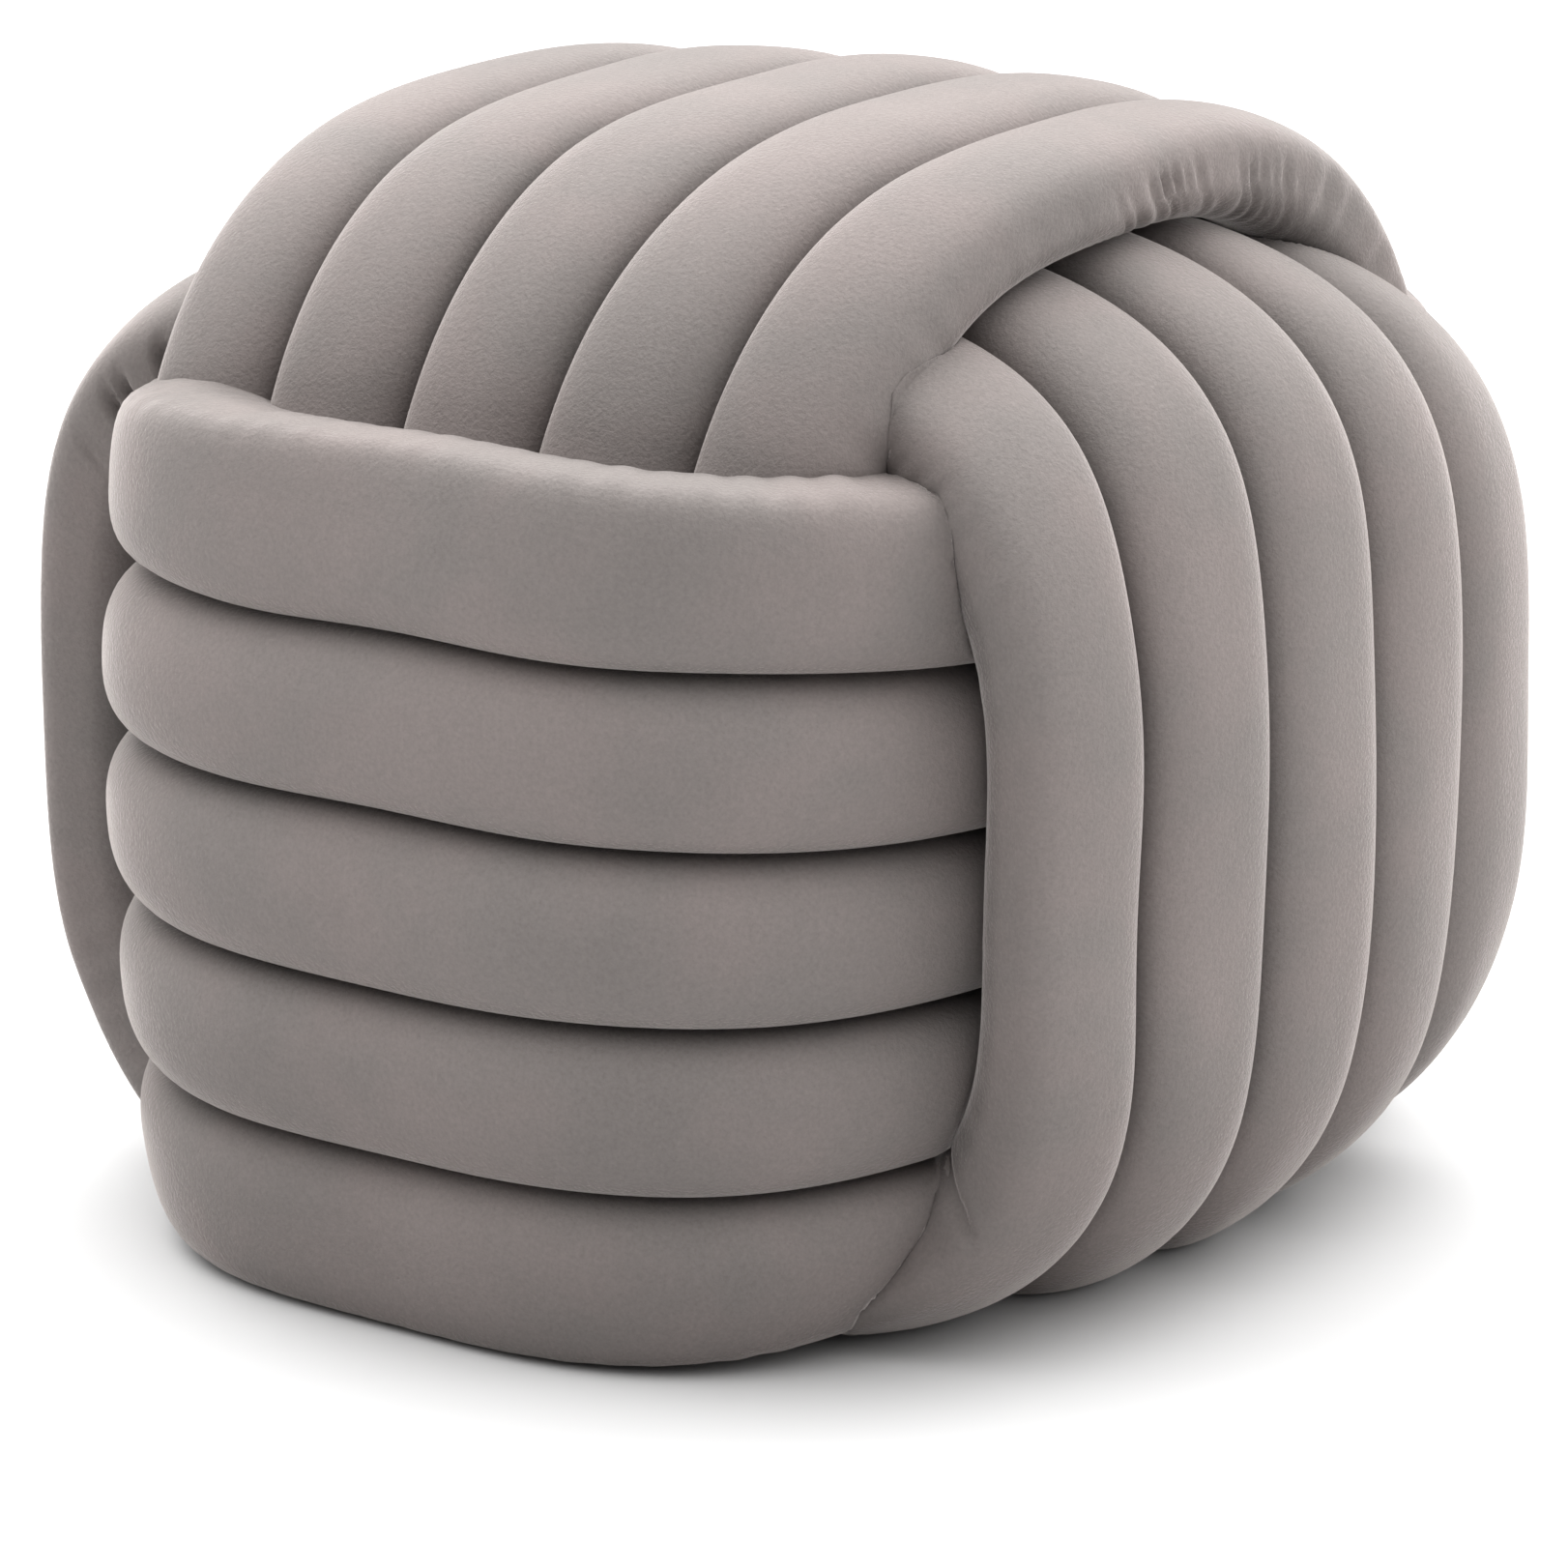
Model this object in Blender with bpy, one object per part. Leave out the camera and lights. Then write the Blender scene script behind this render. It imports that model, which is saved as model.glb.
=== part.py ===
"""A woven velvet pouf: three bands of five stuffed tubes that pass over and under each other.

Each face of the rounded cube shows five tubes side by side. The tubes of the top run front to
back, those of the two sides run up and down, and those of the front and back run left to right.
The outermost tube of each band lies over the ends of the next band's tubes, so the ends are
hidden: top tubes end under the front and back bands, side tubes under the top band, and front
and back tubes under the side bands. The same five tubes that cross the top cross the underside,
where the weight squashes them flat.

Metres, +Z up, +X right, -Y front. The origin is on the floor, under the middle of the pouf.
"""

from collections import namedtuple

import bmesh
import bpy
import numpy as np
from mathutils import Vector

# Driving dimensions
TUBES = 5                # tubes side by side in every band
GAP = 0.0003             # clearance between neighbouring pieces
CUT_GAP = 0.0006         # how much larger a covering tube is when it trims the ends under it
BASE_CUT_GAP = 0.001     # the same for the squashed tubes under the pouf
LONGER = 10              # how much further a trimming copy's ends run, as a multiple of that
FLOOR_HEIGHT = 0.0
BELOW_FLOOR = -0.05      # trimming copies run on below the floor, down to here
SECTION_POWER = 2.4      # how square the stuffed section is: 2 would be an ellipse
ARC_POINTS = 8           # points over the rounded outer side of a section
STATIONS = 11            # sections along a tube
BACK_INSET = 0.75        # half width of a flat back, as a share of the tube's half width
BACK_LENGTH = 0.9        # how much shorter a flat back is than the front, ends included
FOOT_START = 0.45        # where a band's tubes start to spread towards the floor, as a share of reach
FOOT_LENGTH = 0.40       # the further share of reach over which they do

# What a band of five tubes is told, all of it as seen from outside the face it covers. Its tubes
# curve over the face, along it, and stand out from it:
#   centre        distance of the band's middle from the floor
#   half_width    half of the five tubes side by side
#   reach, rise   half length of the middle tube's curve, and its height over the band's middle
#   low_reach     the same half length towards the floor or the front
#   squareness, low_squareness   how boxy that curve is, far and low: 2 would be an ellipse
#   puff          half thickness of a tube
#   tuck          height over the band's middle at which the ends stop
#   back          height over the band's middle of the inner tubes' hidden flat back
#   reach_fall, rise_fall   how much reach and rise are less at the band's edges
#   lean          how much both are more at one edge and less at the other
#   taper, far_taper, end_taper   how much narrower the band gets towards its two ends, evenly
#                 for the low and the far one, and on both just before they stop
#   flare, end_flare   how much wider the band gets where it stands out, evenly and at the crown
#   first_edge, last_edge   width of the outer half of its two outermost tubes, as a share
#   shift, far_shift, bend   how far the band is moved sideways: all of it, its far end, and both
#                 ends in opposite directions
#   fullness      how much thicker the inner side of its outermost tubes is than their outer side
#   foot_shift, foot_width   how far the low end is moved towards the last tube, except for the
#                 first tube, and how far that one's free edge is spread the other way
FIELDS = (
    "centre half_width reach rise low_reach squareness low_squareness puff tuck back reach_fall"
    " rise_fall"
)
OPTIONS = {
    "lean": 0.0, "taper": 0.0, "far_taper": 0.0, "end_taper": 0.0, "flare": 0.0, "end_flare": 0.0,
    "first_edge": 1.0, "last_edge": 1.0, "shift": 0.0, "far_shift": 0.0, "bend": 0.0,
    "foot_shift": 0.0, "foot_width": 0.0, "fullness": 1.0,
}
Band = namedtuple("Band", FIELDS.split() + list(OPTIONS), defaults=OPTIONS.values())
TOP = Band(
    0.179, 0.167, 0.207, 0.239, 0.207, 2.9, 2.9, 0.020, 0.122, 0.115, 0.0110, 0.0115,
    lean=0.003, taper=0.060, far_taper=0.140, end_taper=0.037, first_edge=0.82, last_edge=0.82,
    far_shift=0.017, bend=0.017,
)
SIDE = Band(
    0.173, 0.1375, 0.211, 0.248, 0.208, 3.8, 3.2, 0.0205, 0.150, 0.140, 0.0290, 0.0205,
    flare=0.260, end_flare=0.062, first_edge=0.79, shift=-0.006, foot_shift=0.018, foot_width=0.048,
    fullness=1.5,
)
FRONT = Band(
    0.161, 0.1625, 0.1965, 0.261, 0.1965, 3.15, 3.15, 0.0215, 0.140, 0.128, 0.0045, 0.012,
    lean=0.004, taper=0.050, far_taper=0.050, end_taper=0.106, last_edge=1.09,
    fullness=2.1,
)
BASE = Band(
    0.185, 0.137, 0.240, 0.192, 0.240, 4.0, 4.0, 0.022, 0.155, 0.138, 0.022, 0.004,
    taper=0.13, far_taper=0.13,
)

VELVET = (0.30, 0.27, 0.26)
VELVET_ROUGHNESS = 0.85
SHADES = (1.0, 0.98, 0.96)   # neighbouring tubes differ a little, as cut lengths of velvet do


def clear_scene():
    for thing in list(bpy.data.objects):
        bpy.data.objects.remove(thing, do_unlink=True)


def new_collection(name):
    made = bpy.data.collections.new(name)
    bpy.context.scene.collection.children.link(made)
    return made


def velvet(name, shade):
    """A piece's own material: the same velvet in a slightly different shade."""
    material = bpy.data.materials.new(name)
    material.use_nodes = True
    shader = material.node_tree.nodes["Principled BSDF"]
    shader.inputs["Base Color"].default_value = (*(shade * part for part in VELVET), 1.0)
    shader.inputs["Roughness"].default_value = VELVET_ROUGHNESS
    shader.inputs["Metallic"].default_value = 0.0
    return material


def loft(name, sections, collection):
    """A closed solid through rings of points, capped flat, with its origin in its middle."""
    middle = Vector(np.mean([point for section in sections for point in section], axis=0))
    bm = bmesh.new()
    rings = [[bm.verts.new(Vector(point) - middle) for point in section] for section in sections]
    for near, far in zip(rings, rings[1:]):
        for i in range(len(near)):
            j = (i + 1) % len(near)
            bm.faces.new((near[i], near[j], far[j], far[i]))
    bm.faces.new(rings[0][::-1])
    bm.faces.new(rings[-1])
    bmesh.ops.triangulate(bm, faces=bm.faces[:])
    bmesh.ops.recalc_face_normals(bm, faces=bm.faces[:])
    mesh = bpy.data.meshes.new(name)
    bm.to_mesh(mesh)
    bm.free()
    mesh.shade_smooth()
    made = bpy.data.objects.new(name, mesh)
    made.location = middle
    collection.objects.link(made)
    return made


def section_shape(half_width, puff, grow, round_back, fullness):
    """(across, depth) pairs round one section, as shares of its half width and half thickness.

    Depth runs from 0 at the crown to 1 at the widest line, and on from there by the fullness to
    the round back of an outermost tube. An inner tube's flat back has depth None.
    """
    wider = (half_width - GAP / 2 + grow) / half_width
    thicker = (puff + grow) / puff
    across = np.sin(np.linspace(-np.pi / 2, np.pi / 2, ARC_POINTS))
    bulge = (1 - np.abs(across) ** SECTION_POWER) ** (1 / SECTION_POWER)
    front = [(a * wider, 1 - b * thicker) for a, b in zip(across, bulge)]
    if not round_back:
        return front + [(BACK_INSET, None), (-BACK_INSET, None)]
    fuller = fullness + grow / puff
    return front + [(a * wider, 1 + b * fuller) for a, b in zip(across, bulge)][-2:0:-2]


def spread(band, share):
    """The place across a band as its outermost tubes' own width makes it."""
    last = 1 - 1 / TUBES
    if abs(share) <= last:
        return share
    edge = band.last_edge if share > 0 else band.first_edge
    return np.sign(share) * (last + (abs(share) - last) * edge)


def splay(band, share, part):
    """How far across the band its low end is moved, where the tubes spread on the floor."""
    foot = np.clip((-part - FOOT_START) / FOOT_LENGTH, 0, 1) ** 2
    first = np.clip((-share - 0.6) / 0.4, 0, 1) ** 2
    past_first = np.clip((share + 0.8) / 0.6, 0, 1)
    return foot * (band.foot_shift * past_first - band.foot_width * first)


def tube_point(band, share, depth, turn, grow):
    """One point of a tube, as distances along, across and out of its face.

    share is the place across the band, from -1 to 1, and turn the place along the tube.
    """
    lean = band.lean * share
    rise = band.rise - band.rise_fall * share**2 + lean
    far = turn > 0
    reach = (band.reach if far else band.low_reach) - band.reach_fall * share**2 + lean
    squareness = band.squareness if far else band.low_squareness
    last_angle = np.arccos(((band.tuck - LONGER * grow) / rise) ** (squareness / 2))
    angle = turn * last_angle
    drop = band.puff * (depth or 0)
    along = (reach - drop) * np.sign(angle) * abs(np.sin(angle)) ** (2 / squareness)
    out = (rise - drop) * np.cos(angle) ** (2 / squareness)
    if depth is None:
        along *= BACK_LENGTH * band.back / band.tuck
        out = band.back
    part, height = along / band.reach, out / band.rise
    taper = band.far_taper if far else band.taper
    width = 1 + band.flare * height**2 + band.end_flare * height**6
    width -= taper * part**2 + band.end_taper * part**6
    towards_last = (1 + share) / 2
    far_shift = band.far_shift * max(part, 0) ** 2 * towards_last
    across = band.half_width * spread(band, share) * width
    across += band.shift + far_shift + band.bend * part**3 + splay(band, share, part)
    return along, across, out


def tube(name, band, index, place, collection, grow=0.0):
    """Tube number index of a band. place turns its face's axes into the pouf's."""
    half_width = band.half_width / TUBES
    outermost = index in (0, TUBES - 1)
    shape = section_shape(half_width, band.puff, grow, outermost, band.fullness)
    sections = []
    for turn in np.linspace(-1, 1, STATIONS):
        section = []
        for across, depth in shape:
            share = (2 * index - (TUBES - 1) + across) / TUBES
            section.append(place(*tube_point(band, share, depth, turn, grow)))
        sections.append(section)
    return loft(name, sections, collection)


def top_place(along, across, out):
    return across, along, TOP.centre + out


def base_place(along, across, out):
    return across, along, max(BASE.centre - out, FLOOR_HEIGHT)


def side_place(side, lowest=FLOOR_HEIGHT):
    def place(along, across, out):
        return side * out, across, max(SIDE.centre + along, lowest)

    return place


def front_place(side, lowest=FLOOR_HEIGHT):
    def place(along, across, out):
        return along, side * out, max(FRONT.centre + across, lowest)

    return place


def trimmer(name, band, index, place, collection, clearance=CUT_GAP):
    """A covering tube, larger by the clearance, that only cuts and isn't part of the pouf."""
    made = tube(name, band, index, place, collection, grow=clearance)
    made.hide_render = True
    made.display_type = "WIRE"
    return made


def trim(piece, covering_tubes):
    """Cuts a piece back to where the larger copies of its covering tubes lie on it."""
    for covering in covering_tubes:
        cut = piece.modifiers.new(f"Under {covering.name}", "BOOLEAN")
        cut.operation = "DIFFERENCE"
        cut.solver = "EXACT"
        cut.object = covering


def band_of_tubes(face, band, place, covering_tubes, collection, frame):
    """The five tubes of one face, trimmed where the next band lies over their ends."""
    for index in range(TUBES):
        piece = tube(f"{face}_tube_{index + 1}", band, index, place, collection)
        trim(piece, covering_tubes)
        piece.data.materials.append(velvet(f"velvet_{piece.name}", SHADES[index % len(SHADES)]))
        piece.parent = frame


clear_scene()
pouf = new_collection("Woven_pouf")
trimmers = new_collection("Trimmers")
frame = bpy.data.objects.new("Woven_pouf_frame", None)
pouf.objects.link(frame)

FIRST, LAST = 0, TUBES - 1
RIGHT, LEFT = 1, -1
FORWARD, BACKWARD = -1, 1

over_top = [
    trimmer("over_top_front", FRONT, LAST, front_place(FORWARD, BELOW_FLOOR), trimmers),
    trimmer("over_top_back", FRONT, LAST, front_place(BACKWARD, BELOW_FLOOR), trimmers),
]
over_right = [trimmer("over_right_sides", TOP, LAST, top_place, trimmers)]
over_left = [trimmer("over_left_sides", TOP, FIRST, top_place, trimmers)]
over_front = [
    trimmer("over_front_right", SIDE, FIRST, side_place(RIGHT, BELOW_FLOOR), trimmers),
    trimmer("over_front_left", SIDE, FIRST, side_place(LEFT, BELOW_FLOOR), trimmers),
]
over_back = [
    trimmer("over_back_right", SIDE, LAST, side_place(RIGHT, BELOW_FLOOR), trimmers),
    trimmer("over_back_left", SIDE, LAST, side_place(LEFT, BELOW_FLOOR), trimmers),
]
over_base = [
    trimmer(f"over_base_{name}", band, index, place, trimmers, BASE_CUT_GAP)
    for name, band, index, place in (
        ("front", FRONT, FIRST, front_place(FORWARD, BELOW_FLOOR)),
        ("back", FRONT, FIRST, front_place(BACKWARD, BELOW_FLOOR)),
        ("front_right", SIDE, FIRST, side_place(RIGHT, BELOW_FLOOR)),
        ("front_left", SIDE, FIRST, side_place(LEFT, BELOW_FLOOR)),
        ("back_right", SIDE, LAST, side_place(RIGHT, BELOW_FLOOR)),
        ("back_left", SIDE, LAST, side_place(LEFT, BELOW_FLOOR)),
    )
]

band_of_tubes("top", TOP, top_place, over_top, pouf, frame)
band_of_tubes("base", BASE, base_place, over_base, pouf, frame)
band_of_tubes("right", SIDE, side_place(RIGHT), over_right, pouf, frame)
band_of_tubes("left", SIDE, side_place(LEFT), over_left, pouf, frame)
band_of_tubes("front", FRONT, front_place(FORWARD), over_front, pouf, frame)
band_of_tubes("back", FRONT, front_place(BACKWARD), over_back, pouf, frame)
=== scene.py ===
# %% [markdown]
# # A woven velvet pouf
#
# The real pouf is a knot of soft tubes. Five velvet tubes side by side make a band, and three such
# bands wrap round each other like the strands of a cube-shaped knot, so each face shows five
# lengths of tube and each band dives under the next one at the face's edge.
#
# We could sculpt it as one lump with grooves, but the charm of the thing is that every tube is a
# separate, plump sleeve that is squeezed by its neighbours. So each length is its own piece, and
# it takes the place of the plain solid of the same name in the frame that we load first.

# %% Load the frame
import math
from collections import namedtuple

import bpy
import numpy as np
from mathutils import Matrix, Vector
from mathutils.bvhtree import BVHTree


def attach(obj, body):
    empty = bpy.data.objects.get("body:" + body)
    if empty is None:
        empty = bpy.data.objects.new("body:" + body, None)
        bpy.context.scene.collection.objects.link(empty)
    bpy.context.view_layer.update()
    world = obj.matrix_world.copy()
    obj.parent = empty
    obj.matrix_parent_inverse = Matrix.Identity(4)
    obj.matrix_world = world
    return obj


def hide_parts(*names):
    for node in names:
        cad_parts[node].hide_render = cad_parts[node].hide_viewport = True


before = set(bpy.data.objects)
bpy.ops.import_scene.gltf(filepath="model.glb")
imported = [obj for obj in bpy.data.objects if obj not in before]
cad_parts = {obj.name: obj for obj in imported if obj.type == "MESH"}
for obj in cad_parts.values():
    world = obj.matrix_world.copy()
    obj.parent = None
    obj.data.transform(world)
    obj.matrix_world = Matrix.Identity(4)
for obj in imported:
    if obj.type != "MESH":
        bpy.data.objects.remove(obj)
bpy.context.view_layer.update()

# %% [markdown]
# ## The three bands
#
# A band follows a boxy loop, a superellipse: straighter than a circle over the middle of a face
# and tighter round its edges, as stuffed tubes are when something holds them in. A few lengths say
# how far that loop stands out from the band's own middle and how far it reaches to either side.
# The tubes at a band's two edges lie a little lower than those in its middle, which is what makes
# the faces round, and the band gets narrower or wider on its way, as the knot pulls it.
#
# Each band has a row of these lengths, in metres, and of shares without a unit. A band's first tube
# is the one on the left, at the front or at the bottom, and its low end is the lower, the near or
# the left one.

# %% Measure the bands
Band = namedtuple(
    "Band",
    "middle half_width"                       # height of the band's middle, and half its width
    " reach low_reach rise"                   # how far the loop goes to either end, and outwards
    " squareness low_squareness"              # 2 is a round loop, and more is boxier
    " reach_fall rise_fall edge_fall"         # how much lower the tubes at the edges lie
    " taper far_taper end_taper"              # shares by which the band narrows towards its ends
    " flare end_flare"                        # shares by which it widens over its middle
    " puff first_width last_width"            # half a tube's thickness, and the edge tubes' widths
    " reach_lean rise_lean"                   # how much more the last tube's side stands out
    " shift far_shift bend"                   # sideways: all of it, its far end, and a curve
    " corner corner_rise"                     # far end: first tube drawn in, last tube raised
    " tuck foot_shift foot_width"             # low end: drawn in, moved aside, first tube spread
    " fullness"                               # how thick an edge tube's inner half is
    " end low_end",                           # how far out from the middle the hidden ends stop
)

TOP = Band(
    middle=0.1791, half_width=0.1671, reach=0.2071, low_reach=0.2071, rise=0.2392,
    squareness=2.90, low_squareness=2.90, reach_fall=0.0080, rise_fall=0.0084, edge_fall=0.0032,
    taper=0.060, far_taper=0.140, end_taper=0.037, flare=0.0, end_flare=0.0, puff=0.0199,
    first_width=0.815, last_width=0.815, reach_lean=0.0, rise_lean=0.0038,
    shift=0.0, far_shift=0.0174, bend=0.0170, corner=0.0, corner_rise=0.0, tuck=0.0,
    foot_shift=0.0, foot_width=0.0, fullness=1.0, end=0.095, low_end=0.095,
)
SIDE = Band(
    middle=0.1729, half_width=0.1376, reach=0.2113, low_reach=0.2077, rise=0.2482,
    squareness=3.81, low_squareness=3.12, reach_fall=0.0328, rise_fall=0.0246, edge_fall=-0.0041,
    taper=0.0, far_taper=0.0, end_taper=0.0, flare=0.2602, end_flare=0.0624, puff=0.0205,
    first_width=0.793, last_width=1.0, reach_lean=0.0, rise_lean=0.0,
    shift=-0.0063, far_shift=0.0, bend=0.0, corner=0.0, corner_rise=0.0, tuck=0.014,
    foot_shift=0.018, foot_width=0.048, fullness=1.25, end=0.120, low_end=0.135,
)
FRONT = Band(
    middle=0.1608, half_width=0.1625, reach=0.1966, low_reach=0.1966, rise=0.2612,
    squareness=3.15, low_squareness=3.15, reach_fall=0.0076, rise_fall=0.0154, edge_fall=-0.0035,
    taper=0.050, far_taper=0.050, end_taper=0.1062, flare=0.0, end_flare=0.0, puff=0.0214,
    first_width=1.0, last_width=1.09, reach_lean=0.0045, rise_lean=0.0036,
    shift=0.0, far_shift=0.0, bend=0.0, corner=0.13, corner_rise=0.008, tuck=0.0,
    foot_shift=0.0, foot_width=0.0, fullness=2.1, end=0.105, low_end=0.105,
)
BASE = Band(
    middle=0.1850, half_width=0.1300, reach=0.2250, low_reach=0.2250, rise=0.1920,
    squareness=4.0, low_squareness=4.0, reach_fall=0.022, rise_fall=0.004, edge_fall=0.0,
    taper=0.13, far_taper=0.13, end_taper=0.0, flare=0.0, end_flare=0.0, puff=0.0260,
    first_width=1.0, last_width=1.0, reach_lean=0.0, rise_lean=0.0,
    shift=0.0, far_shift=0.0, bend=0.0, corner=0.0, corner_rise=0.0, tuck=0.0,
    foot_shift=0.0, foot_width=0.0, fullness=1.0, end=0.150, low_end=0.150,
)

TUBES = 5
GAP = 0.0003            # air between neighbouring tubes
print("a tube is about", round(TOP.half_width * 2 / TUBES * 1000), "mm wide")

# %% [markdown]
# ## From the band to the room
#
# Every tube is worked out lying in its own band: how far along the tube, how far across the band,
# and how far out from the pouf's middle. One small function per face then turns those three
# lengths into the room's X, Y and Z. Front and back, and left and right, share a band and differ
# in a sign. Nothing may go through the floor, so what would is spread flat on it, with a soft bend
# at the edge of the flat place as a stuffed tube has.

# %% Place a band on a face
SOFT_FOOT = 0.004       # how gently a tube bends where it meets the floor


def above_floor(height):
    """Heights with what would be under the floor spread on it."""
    bent = (height + SOFT_FOOT) ** 2 / (4 * SOFT_FOOT)
    return np.where(height > SOFT_FOOT, height, np.where(height < -SOFT_FOOT, 0.0, bent))


def on_top(along, across, out):
    return across, along, TOP.middle + out


def on_base(along, across, out):
    return across, along, above_floor(BASE.middle - out)


def on_side(sign):
    return lambda along, across, out: (sign * out, across, above_floor(SIDE.middle + along))


def on_front(sign):
    return lambda along, across, out: (along, sign * out, above_floor(FRONT.middle + across))


Face = namedtuple("Face", "band place inward")
FACES = {
    "top": Face(TOP, on_top, Vector((0, 0, -1))),
    "base": Face(BASE, on_base, Vector((0, 0, 1))),
    "right": Face(SIDE, on_side(1), Vector((-1, 0, 0))),
    "left": Face(SIDE, on_side(-1), Vector((1, 0, 0))),
    "front": Face(FRONT, on_front(-1), Vector((0, 1, 0))),
    "back": Face(FRONT, on_front(1), Vector((0, -1, 0))),
}
print("faces:", ", ".join(FACES))

# %% [markdown]
# ## Round one stuffed tube
#
# A tube's skin is a grid: rings round the stuffing, and stations along the tube. A grid bends,
# wrinkles and shades better than any primitive, and we know for each point how far round and how
# far along it is, which is what we need to put pleats where the maker's hands made them.
#
# A ring is a plump superellipse. Its points are spread by distance and not by angle, so the tight
# shoulders get as many as the crown. The outermost tubes of a band have one side that no neighbour
# squeezes, and there the shoulder is squarer, because the filling pushes out as it likes. Beneath,
# that side is fuller, because the ends of the next band lie under it and hold it up.

# %% Draw a ring
RING = 60               # points round a tube
SAMPLES = 4001          # fine steps, from which evenly spaced ones are picked
SECTION_POWER = 2.6     # 2 would be an oval section, and more is plumper at the shoulders
FREE_POWER = 4.0        # the same for the free side of an outermost tube
INNER_POWER = 1.9       # and for that side's inner half, under which the next band's ends go


def power(value, squareness):
    """A superellipse's sine or cosine."""
    return np.sign(value) * np.abs(value) ** (2 / squareness)


def evenly(x, y, samples, count):
    """The samples, picked again so that they are evenly far apart on the line through x and y."""
    far = np.concatenate([[0], np.cumsum(np.hypot(np.diff(x), np.diff(y)))])
    return np.interp(np.linspace(0, far[-1], count), far, samples)


def section(band, count, free):
    """Angles and places round a tube: (-1 to 1 across it, depth from 0 at the crown to 2 under it).

    free is the side of the tube that no neighbour squeezes: 1, -1, or 0 for neither.
    """
    turn = np.linspace(-np.pi, np.pi, SAMPLES)

    def shape(turn):
        plump = SECTION_POWER + (FREE_POWER - SECTION_POWER) * np.clip(np.sin(turn) * free, 0, 1)
        plump = np.where((np.cos(turn) < 0) & (np.sin(turn) * free > 0), INNER_POWER, plump)
        thick = np.where(np.cos(turn) < 0, band.fullness if free else 1, 1)
        return power(np.sin(turn), plump), 1 - thick * power(np.cos(turn), plump)

    wide, deep = shape(turn)
    turn = evenly(wide * band.half_width / TUBES, deep * band.puff, turn, count + 1)[:-1]
    return turn, *shape(turn)


print("a ring has", len(section(TOP, RING, 0)[0]), "points")

# %% [markdown]
# ## Along one tube
#
# The stations are spread by distance along the band's loop too. The two ends stop where the tube
# has gone well under the next band, since nobody sees the rest of its way round.
#
# Real filling is never even. A slow wandering of the whole band, the same for neighbours so that
# they still touch, keeps the creases from running like ruled lines. It is a sum of a few waves in
# random directions, which is smooth everywhere and always the same for the same seed.

# %% Space the stations
STATIONS = 150
FINE_STATIONS = 340     # for the outermost tubes, which have pleats
WAVES = 7               # waves in one smooth random number


def stations(band, count):
    """Angles along the band's loop, evenly spaced from its low or near end to its far end."""
    far_angle = np.arccos((band.end / band.rise) ** (band.squareness / 2))
    near_angle = -np.arccos((band.low_end / band.rise) ** (band.low_squareness / 2))
    angle = np.linspace(near_angle, far_angle, SAMPLES)
    squareness = np.where(angle < 0, band.low_squareness, band.squareness)
    along = np.where(angle < 0, band.low_reach, band.reach) * power(np.sin(angle), squareness)
    return evenly(along, band.rise * power(np.cos(angle), squareness), angle, count)


def wander(seed, length, *places):
    """A smooth random number from about -1 to 1 at every place."""
    rng = np.random.default_rng(seed)
    total = 0
    for _ in range(WAVES):
        way = rng.normal(size=len(places))
        way *= 2 * np.pi / length / np.linalg.norm(way)
        total = total + np.sin(sum(w * p for w, p in zip(way, places)) + rng.uniform(0, 2 * np.pi))
    return total / (WAVES / 2)


print("stations run over", np.degrees(stations(TOP, STATIONS)[[0, -1]]).round(), "degrees on top")

# %% [markdown]
# ## The skin of a band
#
# One function bends the flat grid of a tube round its band. It starts from the boxy loop and then
# adds what the knot does to it, one pull after another: the edges fall away, the band narrows and
# widens, the ends are drawn in at a corner, and the feet spread where they carry the weight.
#
# The share of a point is its place across the band, from -1 at the first tube's edge to 1 at the
# last tube's. Its part is its place along the loop, from -1 at the low end to 1 at the far end.

# %% Bend the skin of a band
FIRST_START, FIRST_LENGTH = 0.6, 0.4    # shares at the first tube, from the band's middle outwards
PAST_START, PAST_LENGTH = -0.8, 0.6     # shares where its foot gives way to the others'
FOOT_START, FOOT_LENGTH = 0.45, 0.4     # parts of the loop where a tube becomes its foot
DRIFT, DRIFT_LEAN = 0.5, 0.6            # how a far end's drift grows from the first tube to the last


def ramp(value, start, length):
    """From 0 at the start to 1 after the length."""
    return np.clip((value - start) / length, 0, 1)


def skin(band, share, depth, angle):
    """Points of a band's skin as distances along, across and out of its face."""
    low = angle < 0
    squareness = np.where(low, band.low_squareness, band.squareness)
    edge = band.edge_fall * share**6 + band.puff * depth
    reach = band.reach - band.reach_fall * share**2 + band.reach_lean * share - edge
    rise = band.rise - band.rise_fall * share**2 + band.rise_lean * share - edge
    along = reach * power(np.sin(angle), squareness) * np.where(low, band.low_reach / band.reach, 1)
    out = rise * power(np.cos(angle), squareness)
    part, height = along / band.reach, out / band.rise

    last = 1 - 1 / TUBES
    edge_width = np.where(share > 0, band.last_width, band.first_width)
    size = np.abs(share)
    wide = np.sign(share) * np.where(size > last, last + (size - last) * edge_width, size)
    narrowing = np.where(low, band.taper, band.far_taper) * part**2 + band.end_taper * part**6
    widening = band.flare * height**2 + band.end_flare * height**6
    across = band.half_width * wide * (1 - narrowing + widening) + band.shift

    first = ramp(-share, FIRST_START, FIRST_LENGTH)
    along = along * (1 - band.corner * first**2 * np.clip(part, 0, 1) ** 2)
    foot = ramp(-part, FOOT_START, FOOT_LENGTH)
    past_first = ramp(share, PAST_START, PAST_LENGTH)
    out = out - band.tuck * foot**2 * past_first
    splay = foot**2 * (band.foot_shift * past_first - band.foot_width * first**2)
    far_shift = band.far_shift * np.maximum(part, 0) ** 2 * (DRIFT + DRIFT_LEAN * share)
    across = across + far_shift + band.bend * part**3 + splay
    last_tube = np.clip((share - last) * TUBES, 0, 1)
    return along, across + band.corner_rise * last_tube * np.clip(part, 0, 1) ** 6, out


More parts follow.
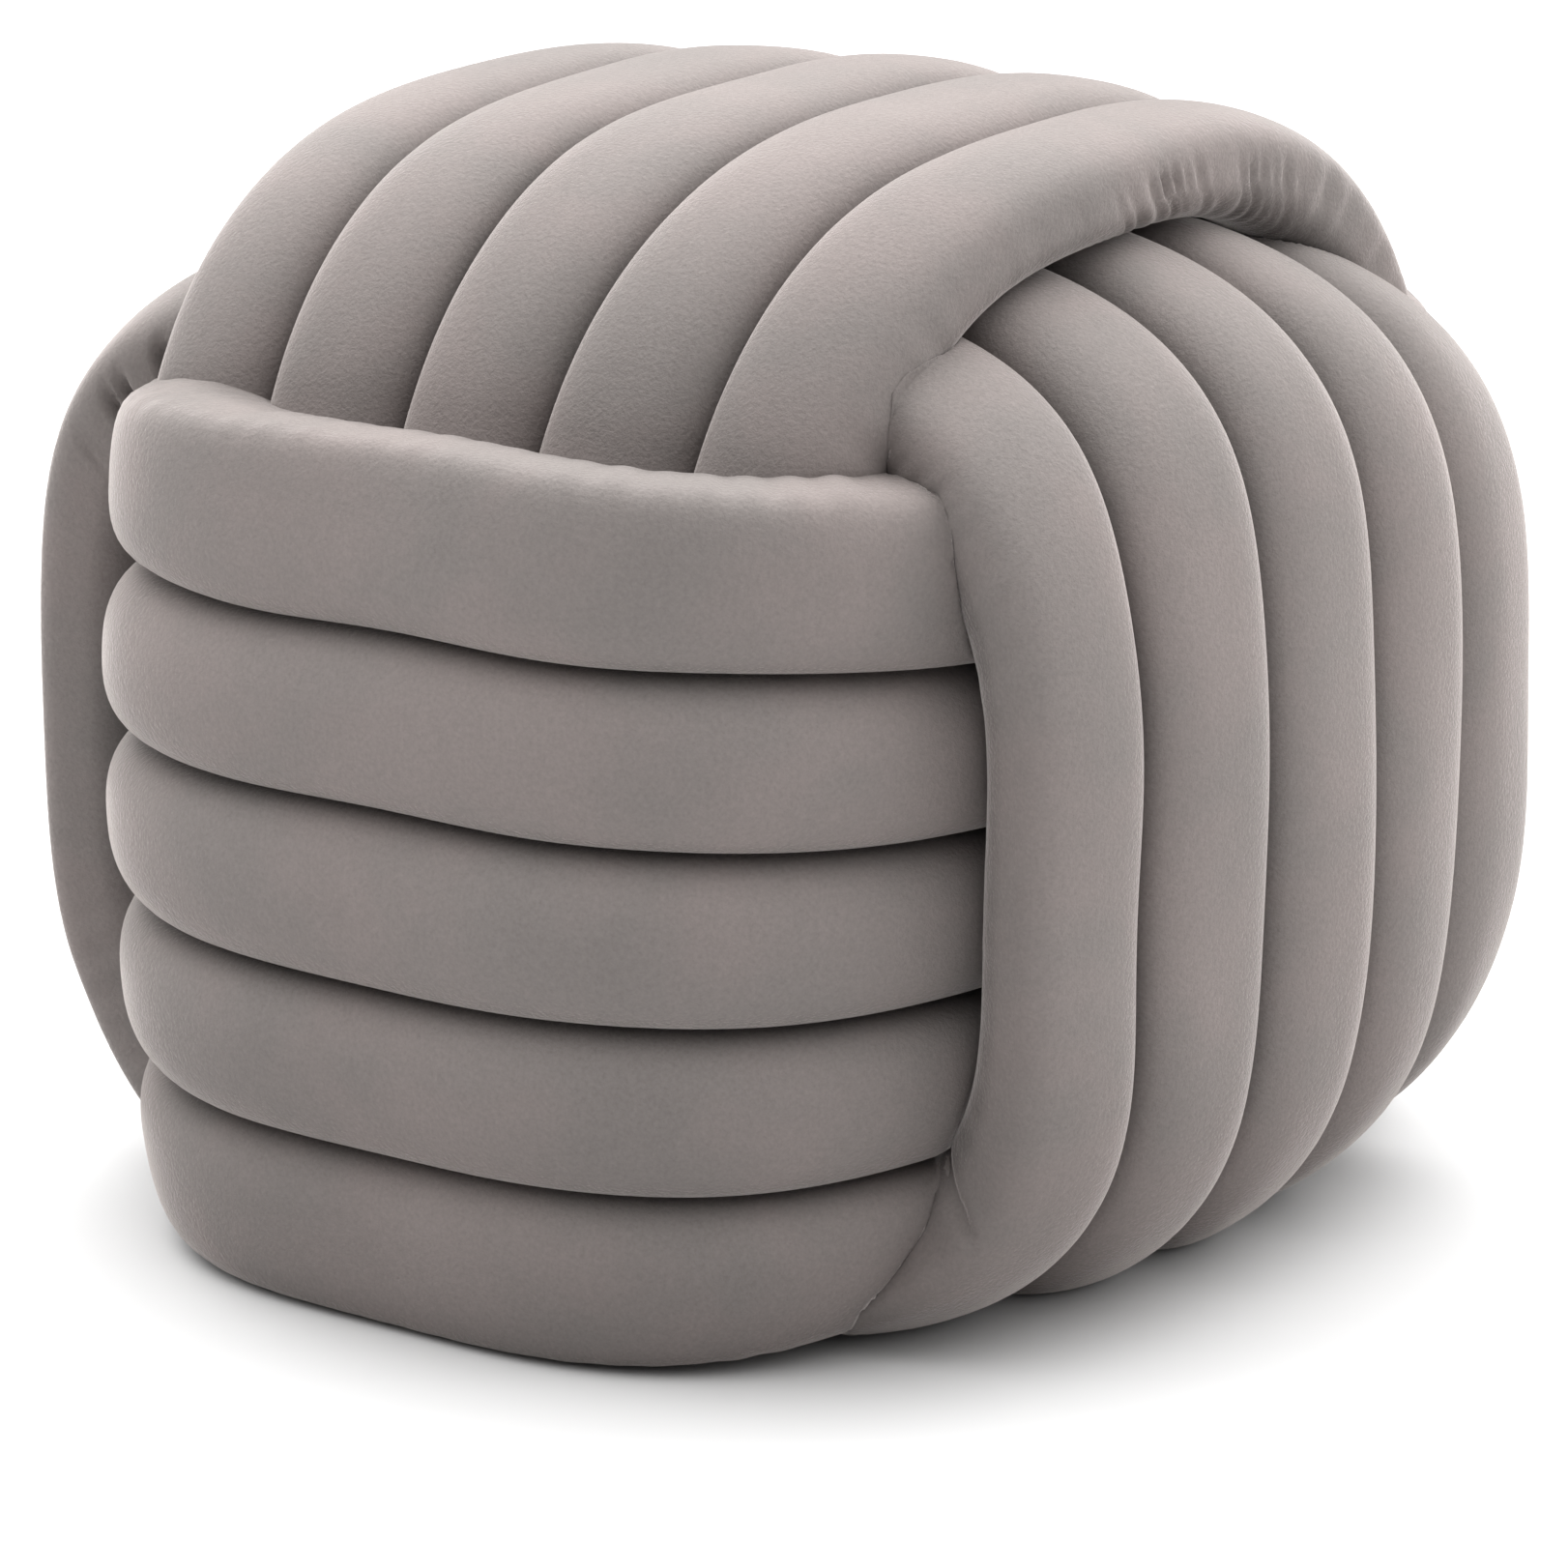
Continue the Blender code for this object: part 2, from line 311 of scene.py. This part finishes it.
crown = skin(TOP, 0.0, 0.0, np.array([0.0]))[2][0]
print("the top band's crown is", round(float(TOP.middle + crown) * 1000), "mm above the floor")

# %% [markdown]
# ## Pleats
#
# Where the sewing draws the velvet in, it folds. The pleats sit on the free side of an outermost
# tube and run up from its underside, at a slant and never evenly. A bump in the material would
# look flat against the light, so they are made in the mesh: the section is simply less full where
# a fold goes in. All free sides also have very small waves, stronger where the tube is squeezed
# at a corner, and one tube has a single pinch low down.

# %% Draw in the pleats
PLEAT = 0.0026          # how deep a pleat is
PLEAT_LENGTH = 0.0105   # from one pleat to the next
PLEAT_LIFT = 2.2        # how fast pleats fade on their way up from the underside
UNDERSIDE, UNDERSIDE_EDGE = 1.1, 2      # where on the section the underside begins, and how sharply
FADE = 1.5              # how far pleats fade out past their stretch of tube
DRIFT_TURNS = 3.2       # how much the pleats' spacing varies
DRIFT_OVER = 0.055      # and over what length
ROUND = 0.01            # how much of that variation goes round the tube
STRENGTH, STRENGTH_SPREAD, STRONGEST = 0.55, 0.65, 1.3
STRENGTH_OVER = 0.03    # length over which pleats get weaker and stronger
SCALLOP = 0.0005        # how deep the small waves along any free side are
SCALLOP_OVER = 0.017
SCALLOP_ROUND = 0.002
SQUEEZE, SQUEEZE_AT, SQUEEZE_OVER = 1.2, 0.76, 0.08     # more waves where a corner squeezes
PINCH_AT, PINCH_OVER = 0.20, 0.004      # share of the tube's length, and the pinch's width

Pleats = namedtuple("Pleats", "start stop depth slant pinch", defaults=(0.014, 0.0))
SMOOTH = Pleats(0.4, 0.6, 0.0)
PLEATS = {              # where the pleats start and stop, as shares of the tube's length
    "top_tube_5": Pleats(0.44, 0.70, 0.8, 0.026),
    "top_tube_1": Pleats(0.60, 0.76, 0.4),
    "left_tube_1": Pleats(0.76, 0.93, 3.6, -0.020),
    "right_tube_1": Pleats(0.80, 0.90, 0.4, 0.008, 0.0024),
    "left_tube_5": Pleats(0.76, 0.92, 1.2),
    "right_tube_5": Pleats(0.76, 0.90, 1.0),
    "back_tube_5": Pleats(0.30, 0.70, 0.4),
}


def bell(value, middle, width):
    """1 at the middle, and fading to 0 on both sides of it."""
    return np.exp(-(((value - middle) / width) ** 2))


def gathers(name, free, turn, far, length, seed):
    """How far the cloth of a free side is drawn in: slanted pleats in places, and small waves."""
    pleats = PLEATS.get(name, SMOOTH)
    side = np.clip(np.sin(turn) * free, 0, 1)
    under = side * np.clip(UNDERSIDE - UNDERSIDE_EDGE * np.cos(turn), 0, 1)
    slanted = far + pleats.slant * np.cos(turn)
    uneven = DRIFT_TURNS * wander(seed, DRIFT_OVER, slanted, turn * ROUND)
    wave = 0.5 + 0.5 * np.sin(2 * np.pi * slanted / PLEAT_LENGTH + uneven)
    middle, half = (pleats.start + pleats.stop) / 2, (pleats.stop - pleats.start) / 2
    near = np.clip(FADE - np.abs(far / length - middle) / half, 0, 1)
    strong = STRENGTH + STRENGTH_SPREAD * wander(seed + 1, STRENGTH_OVER, slanted, turn * ROUND)
    strong = np.clip(strong, 0, STRONGEST)
    small = 0.5 + 0.5 * wander(seed + 2, SCALLOP_OVER, far, turn * SCALLOP_ROUND)
    small = SCALLOP * side**6 * small
    squeezed = 1 + SQUEEZE * bell(far / length, SQUEEZE_AT, SQUEEZE_OVER)
    tuck = pleats.pinch * under * bell(slanted, PINCH_AT * length, PINCH_OVER)
    folds = PLEAT * pleats.depth * near * under**PLEAT_LIFT * strong * wave
    return folds + small * squeezed + tuck


print(len(PLEATS), "tubes have pleats")

# %% [markdown]
# ## Lay out every tube
#
# Now the parts come together. A tube's two hidden ends round shut like the toe of a sock. Each
# point also learns how far down a crease it is, because the finish paints shade there: the colour
# is darkened where the crease lies in shadow. On a free side there is no crease, so there the
# painted shade begins only under the tube.

# %% Lay out the tubes
CLOSING = 0.022         # length over which a tube's hidden end rounds shut
TIP = 0.04              # share of its width that the very tip keeps, so that it doesn't fold
WANDER = 0.0011         # how far the filling pushes the band about
WANDER_LENGTH = 0.13
CREASE_START = 0.30     # depth below the crown, in half thicknesses, where the creases begin
FREE_CREASE_START = 1.1  # the same on a free side
FACE_SEEDS = 10         # seeds kept for each face
PLEAT_SEEDS = 50        # where its pleats' seeds begin


def tube_points(face, index, seed):
    """A tube's grid of points in the room, stations by ring, and how far down a crease each is."""
    band, place, _ = FACES[face]
    name = f"{face}_tube_{index + 1}"
    free = {0: -1, TUBES - 1: 1}.get(index, 0)
    turn, across, depth = section(band, RING, free)
    angle = stations(band, FINE_STATIONS if free else STATIONS)
    along, _, out = skin(band, 0.0, 0.0, angle)
    far = np.concatenate([[0], np.cumsum(np.hypot(np.diff(along), np.diff(out)))])
    shut = np.clip(np.minimum(far, far[-1] - far) / CLOSING, 0, 1)
    full = np.sqrt(1 - (1 - shut) ** 2)[:, None] * (1 - TIP) + TIP
    if free:
        pleat_seed = seed + PLEAT_SEEDS + index
        drawn = gathers(name, free, turn[None, :], far[:, None], far[-1], pleat_seed)
        full = full * (1 - drawn / band.puff)
    narrower = 1 - GAP / 2 / (band.half_width / TUBES)
    share = (2 * index - (TUBES - 1) + across * full * narrower) / TUBES
    depth = 1 + (depth - 1) * full
    along, across, out = skin(band, share, depth, angle[:, None])
    across = across + WANDER * wander(seed, WANDER_LENGTH, along, across)
    out = out + WANDER * wander(seed + 1, WANDER_LENGTH, along, across)
    # how strongly each point's colour gets painted crease shade, from its depth in the crease
    start = np.where(across * free > 0, FREE_CREASE_START, CREASE_START)
    crease = np.clip((depth - start) / (1 - CREASE_START), 0, 1)
    return np.stack(np.broadcast_arrays(*place(along, across, out)), -1), crease


grids, creases = {}, {}
for number, face in enumerate(FACES):
    for index in range(TUBES):
        name = f"{face}_tube_{index + 1}"
        grids[name], creases[name] = tube_points(face, index, FACE_SEEDS * number + 1)
print(len(grids), "grids of", STATIONS, "or", FINE_STATIONS, "by", RING)

# %% [markdown]
# ## Press the ends under the covering tubes
#
# Where a band dives under the next one, the outermost tube of that next band lies on it and
# squashes it. We could cut the hidden ends off, but a cut leaves a hard rim, and cloth doesn't end
# there. So a point inside the covering tube is moved to the nearest place on that tube's flank or
# back, and the two meet along a soft line. A point's move can differ a lot from its neighbour's,
# which looks torn, so the moves are evened out afterwards. Some points sink back into the covering
# tube then, and some ends lie deep inside it. From the sides and above none of that is seen, but
# underneath, two of the lowest tubes come through a foot.

# %% Look for what lies inside a covering tube
CLEARANCE = 0.0004      # how far a pressed point stays off the covering tube
FLANK = -0.02           # how far a covering tube's flank may face outwards to be pressed against
TINY = 1e-12            # keeps a face without area from dividing by nothing
COVERS = {
    "top": ("front_tube_5", "back_tube_5"),
    "right": ("top_tube_5",),
    "left": ("top_tube_1",),
    "front": ("right_tube_1", "left_tube_1"),
    "back": ("right_tube_5", "left_tube_5"),
    "base": ("front_tube_1", "back_tube_1", "right_tube_1", "right_tube_5", "left_tube_1",
             "left_tube_5"),
}


def quads(rows, ring):
    """The four corners of every face between neighbouring rings."""
    made = []
    for row in range(0, (rows - 1) * ring, ring):
        for i in range(ring):
            j = (i + 1) % ring
            made.append((row + i, row + j, row + ring + j, row + ring + i))
    return made


def face_of(name):
    """The face that a tube is on, from its name."""
    return FACES[name.split("_")[0]]


def trees_of(grid, inward):
    """Two trees of a tube's skin: all of it, and the part that doesn't face out of its face."""
    faces = np.array(quads(*grid.shape[:2]))
    points = grid.reshape(-1, 3)
    corners = points[faces]
    normals = np.cross(corners[:, 2] - corners[:, 0], corners[:, 3] - corners[:, 1])
    normals /= np.linalg.norm(normals, axis=1)[:, None] + TINY
    facing = normals @ np.array(inward)
    return (
        BVHTree.FromPolygons(points.tolist(), faces.tolist()),
        BVHTree.FromPolygons(points.tolist(), faces[facing > FLANK].tolist()),
    )


trees = {
    name: trees_of(grids[name], face_of(name).inward) for covers in COVERS.values() for name in covers
}
covering = {name: grids[name].copy() for name in trees}
print(len(covering), "tubes cover the ends of others")

# %% Press the ends
SMOOTHINGS = 2          # times that the moves are evened out


def press(grid, cover, trees, inward):
    """Moves the points inside a covering tube to the nearest place on its flanks or its back."""
    whole, under = trees
    low, high = cover.reshape(-1, 3).min(0), cover.reshape(-1, 3).max(0)
    close = np.all((grid > low - CLEARANCE) & (grid < high + CLEARANCE), axis=-1)
    for place in np.argwhere(close):
        point = Vector(grid[tuple(place)])
        hit, normal, _, _ = whole.ray_cast(point - inward * CLEARANCE, inward)
        if hit is None or normal.dot(inward) <= 0:
            continue
        nearest, normal, _, _ = under.find_nearest(point)
        grid[tuple(place)] = nearest + normal * CLEARANCE


def smooth_moves(grid, before):
    """Evens out how far the pressed points of a tube were moved."""
    move = grid - before
    pressed = np.any(move != 0, axis=-1)[1:-1, :, None]
    for _ in range(SMOOTHINGS):
        beside = (np.roll(move, 1, 1) + np.roll(move, -1, 1))[1:-1] + move[:-2] + move[2:]
        move[1:-1] = np.where(pressed, (move[1:-1] + beside / 4) / 2, move[1:-1])
    grid[:] = before + move


for name, grid in grids.items():
    before = grid.copy()
    for cover in COVERS[name.split("_")[0]]:
        press(grid, covering[cover], trees[cover], face_of(cover).inward)
    smooth_moves(grid, before)
    grid[..., 2] = np.maximum(grid[..., 2], 0)
print("pressed the ends of", len(grids), "tubes")

# %% [markdown]
# ## Sew the sleeves
#
# A grid of points is not yet a thing. The mesh gets a face between every four points and a fan of
# triangles over each end, so that the sleeve is closed and could be filled. How far down a crease
# a point lies goes with it as an attribute, and the finish paints shade into the creases from it.

# %% Sew the sleeves
DEEPEST = 1.0           # the two tips are as deep in a crease as can be


def sleeve(name, grid, crease):
    """A closed mesh through a grid of rings, which knows how deep in a crease its points are."""
    rows, ring = grid.shape[:2]
    points = np.concatenate([grid.reshape(-1, 3), grid[[0, -1]].mean(1)])
    near, far = len(points) - 2, len(points) - 1
    faces = quads(rows, ring)
    for i in range(ring):
        j = (i + 1) % ring
        faces.append((near, j, i))
        faces.append((far, (rows - 1) * ring + i, (rows - 1) * ring + j))
    mesh = bpy.data.meshes.new(name)
    mesh.from_pydata(points.tolist(), [], faces)
    mesh.shade_smooth()
    values = np.concatenate([crease.reshape(-1), [DEEPEST, DEEPEST]])
    mesh.attributes.new("crease", "FLOAT", "POINT").data.foreach_set("value", values)
    made = bpy.data.objects.new(name, mesh)
    bpy.context.scene.collection.objects.link(made)
    return made


pieces = {name: sleeve(f"velvet_{name}", grid, creases[name]) for name, grid in grids.items()}
print("sewed", len(pieces), "sleeves with", sum(len(p.data.polygons) for p in pieces.values()), "faces")

# %% [markdown]
# ## Shader maths
#
# A material is a graph of nodes, and adding every node by hand hides what it works out. A small
# class holds a socket and knows what plus, minus and times mean, so that the shade of the velvet
# can be written as a sum. Another holds the material and adds any other node from one line.

# %% A value on its way through the nodes
class Wire:
    """A socket of a material. Arithmetic on it adds Math nodes."""

    def __init__(self, finish, socket):
        self.finish, self.socket = finish, socket

    def math(self, operation, *values):
        return self.finish.node("ShaderNodeMath", {"operation": operation}, *values)

    def __add__(self, other):
        return self.math("ADD", self, other)

    def __radd__(self, other):
        return self.math("ADD", other, self)

    def __sub__(self, other):
        return self.math("SUBTRACT", self, other)

    def __rsub__(self, other):
        return self.math("SUBTRACT", other, self)

    def __mul__(self, other):
        return self.math("MULTIPLY", self, other)

    def __rmul__(self, other):
        return self.math("MULTIPLY", other, self)


class Finish:
    """A material or a world being made from nodes."""

    def __init__(self, owner):
        owner.use_nodes = True
        self.owner, self.tree = owner, owner.node_tree
        self.tree.nodes.clear()

    def node(self, kind, settings=None, *values, output=0, at=None, **named):
        """Adds a node, sets its settings, then gives its sockets values or links.

        The values go to the sockets in order, those in at by number, and the named ones by name.
        """
        made = self.tree.nodes.new(kind)
        for key, value in (settings or {}).items():
            setattr(made, key, value)
        wanted = list(enumerate(values)) + list((at or {}).items())
        wanted += [(key.replace("_", " "), value) for key, value in named.items()]
        for key, value in wanted:
            if isinstance(value, Wire):
                self.tree.links.new(value.socket, made.inputs[key])
            else:
                made.inputs[key].default_value = value
        return Wire(self, made.outputs[output]) if made.outputs else made


print("shader maths ready")

# %% [markdown]
# ## Velvet
#
# Velvet is short, dense pile standing on a cloth. Seen straight on we look down between the fibres
# and it is dark; seen along the surface the tips catch the light, which gives each tube its pale
# rim. That glow is the sheen of the shader. The pile also leans one way or another where a hand
# has brushed it, so the colour drifts between a pinkish and a greyer taupe over a few centimetres,
# and the fibres themselves show as a fine grain. A picture of velvet would show the same patches
# on every tube, so the patches and the grain are noise in the room's own coordinates. Down in a
# crease the colour is darkened: painted shade, standing in for the shadow that falls there.

# %% Mix the velvet
PINK_TAUPE = (0.200, 0.174, 0.166, 1)
GREY_TAUPE = (0.190, 0.171, 0.163, 1)
PATCH = 0.075           # size of a brushed patch
PATCH_FROM, PATCH_TO = 0.36, 0.64       # noise at which a patch is all grey, and all pink
PATCH_SHADE = 0.25      # how much darker or paler a patch is
GRAIN = 0.0017          # size of a tuft of pile
GRAIN_SHADE = 0.24      # how much darker or paler a tuft is
PAINTED_CREASE_SHADE = 0.45     # how much painted shade darkens the colour down in a crease
PILE = 0.0006           # height of the pile's unevenness
PILE_STRENGTH = 0.8
SHEEN = 0.8
SHEEN_SPREAD = 0.27     # how far the pale rim reaches in from the edge
SHEEN_TINT = (1.0, 0.92, 0.89, 1)
MIX_A, MIX_B, MIX_RESULT = 6, 7, 2      # the colour sockets of a Mix node


def velvet():
    """The pouf's one finish."""
    finish = Finish(bpy.data.materials.new("taupe_velvet"))
    place = finish.node("ShaderNodeTexCoord", output="Object")
    patch = finish.node("ShaderNodeTexNoise", None, Vector=place, Scale=1 / PATCH, Detail=3.0,
                        Roughness=0.55, Distortion=0.3)
    tuft = finish.node("ShaderNodeTexNoise", None, Vector=place, Scale=1 / GRAIN, Detail=3.0,
                       Roughness=0.7)
    brushed = finish.node("ShaderNodeMapRange", {"interpolation_type": "SMOOTHSTEP"}, patch,
                          From_Min=PATCH_FROM, From_Max=PATCH_TO)
    colour = finish.node("ShaderNodeMix", {"data_type": "RGBA"}, brushed, output=MIX_RESULT,
                         at={MIX_A: GREY_TAUPE, MIX_B: PINK_TAUPE})
    # painted shade: the colour is darkened by how deep in a crease a point lies
    crease = finish.node("ShaderNodeAttribute", {"attribute_name": "crease"}, output="Fac")
    grain = (tuft - 0.5) * (2 * GRAIN_SHADE)
    shade = 1 + grain + (patch - 0.5) * PATCH_SHADE - crease * PAINTED_CREASE_SHADE
    shaded = finish.node("ShaderNodeVectorMath", {"operation": "SCALE"}, colour, Scale=shade)
    bump = finish.node("ShaderNodeBump", None, Strength=PILE_STRENGTH, Distance=PILE, Height=tuft)
    shader = finish.node(
        "ShaderNodeBsdfPrincipled", None, Base_Color=shaded, Roughness=0.9, Normal=bump,
        Sheen_Weight=SHEEN, Sheen_Roughness=SHEEN_SPREAD, Sheen_Tint=SHEEN_TINT,
        Specular_IOR_Level=0.2,
    )
    finish.node("ShaderNodeOutputMaterial", None, Surface=shader)
    return finish.owner


taupe = velvet()
print("mixed", taupe.name, "from", len(taupe.node_tree.nodes), "nodes")

# %% [markdown]
# ## Finish the sleeves
#
# Each sleeve gets the velvet and takes the place of the plain solid of its own name. All of them
# ride on the one body.

# %% Finish the sleeves
for name, piece in pieces.items():
    piece.data.materials.append(taupe)
    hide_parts(name)
    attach(piece, "root")
print("finished", len(pieces), "velvet tubes")

# %% [markdown]
# ## Floor
#
# The pouf stands on a plain floor that goes on past everything we see. Under these lamps a white
# paint would throw too much light up onto the sides and drown the creases. So the paint is a mid
# grey, which comes out white all the same because the lamps are strong.

# %% Lay the floor
HALF_FLOOR = 30.0
FLOOR_GREY = (0.6, 0.6, 0.6, 1)
floor_mesh = bpy.data.meshes.new("floor")
floor_mesh.from_pydata(
    [(-HALF_FLOOR, -HALF_FLOOR, 0), (HALF_FLOOR, -HALF_FLOOR, 0), (HALF_FLOOR, HALF_FLOOR, 0),
     (-HALF_FLOOR, HALF_FLOOR, 0)], [], [(0, 1, 2, 3)])
floor = bpy.data.objects.new("floor", floor_mesh)
bpy.context.scene.collection.objects.link(floor)
paint = Finish(bpy.data.materials.new("white_floor"))
matt = paint.node("ShaderNodeBsdfPrincipled", None, Base_Color=FLOOR_GREY, Roughness=0.8,
                  Specular_IOR_Level=0.1)
paint.node("ShaderNodeOutputMaterial", None, Surface=matt)
floor_mesh.materials.append(paint.owner)
print("the floor is", 2 * HALF_FLOOR, "m wide")

# %% [markdown]
# ## Studio light
#
# The light is that of a bright studio with large soft boxes. Lamps of a set size would leave
# edges in the shadows, so the room itself shines instead: each lamp is a direction in which the
# world is brightest, fading away from it. The strongest stands high behind the pouf and makes the
# top pale, two at the sides draw the tubes' rims, a weak one softens the right side, and one
# straight above fills in the rest.

# %% Light the studio
Lamp = namedtuple("Lamp", "turn height focus strength")
VIEW_TURN = 0.6182      # how far round from the front the camera stands
LAMPS = (               # turns are degrees round from the camera, heights degrees up
    Lamp(0, 90, 5, 1.3),
    Lamp(180, 62, 6, 5.0),
    Lamp(60, 42, 5, 0.6),
    Lamp(110, 42, 5, 2.8),
    Lamp(240, 42, 5, 2.9),
)


def towards(turn, height):
    """The direction that is so far round from the front and so far up."""
    return Vector((
        math.sin(turn) * math.cos(height),
        -math.cos(turn) * math.cos(height),
        math.sin(height),
    ))


def studio():
    """A world of broad soft lamps, each brightest in one direction and fading away from it."""
    world = bpy.data.worlds.new("studio")
    bpy.context.scene.world = world
    finish = Finish(world)
    way = finish.node("ShaderNodeTexCoord", output="Generated")
    bright = 0.0
    for lamp in LAMPS:
        lamp_way = towards(VIEW_TURN + math.radians(lamp.turn), math.radians(lamp.height))
        facing = finish.node("ShaderNodeVectorMath", {"operation": "DOT_PRODUCT"}, way, lamp_way,
                             output="Value")
        fade = finish.node("ShaderNodeMath", {"operation": "EXPONENT"}, (facing - 1) * lamp.focus)
        bright = fade * lamp.strength + bright
    light = finish.node("ShaderNodeBackground", None, Color=(1, 1, 1, 1), Strength=bright)
    finish.node("ShaderNodeOutputWorld", None, Surface=light)


studio()
bpy.context.scene.view_settings.view_transform = "Standard"
print("lit by", len(LAMPS), "soft lamps")

# %% [markdown]
# ## Camera
#
# A long lens from a few metres away, a little above the pouf, shows three of its faces without
# bending them. It looks at a point below the pouf's middle, and a small shift frames it.

# %% Set up the camera
ELEVATION = 0.2674      # how far up the camera stands
DISTANCE = 3.0541
LENS = 187.1
SENSOR = 36
LOOK_HEIGHT = 0.164
SHIFT = (-0.0044, -0.0174)

camera = bpy.data.objects.new("camera", bpy.data.cameras.new("camera"))
bpy.context.scene.collection.objects.link(camera)
back = towards(VIEW_TURN, ELEVATION)
camera.location = Vector((0, 0, LOOK_HEIGHT)) + back * DISTANCE
camera.rotation_euler = back.to_track_quat("Z", "Y").to_euler()
camera.data.lens = LENS
camera.data.sensor_width = SENSOR
camera.data.shift_x, camera.data.shift_y = SHIFT
bpy.context.scene.camera = camera
print("the camera stands", round(camera.location.length, 2), "m from the pouf")

# %% [markdown]
# ## Last step
#
# Last, the scene is brought up to date.

# %% Update the scene
bpy.context.view_layer.update()
print("done")
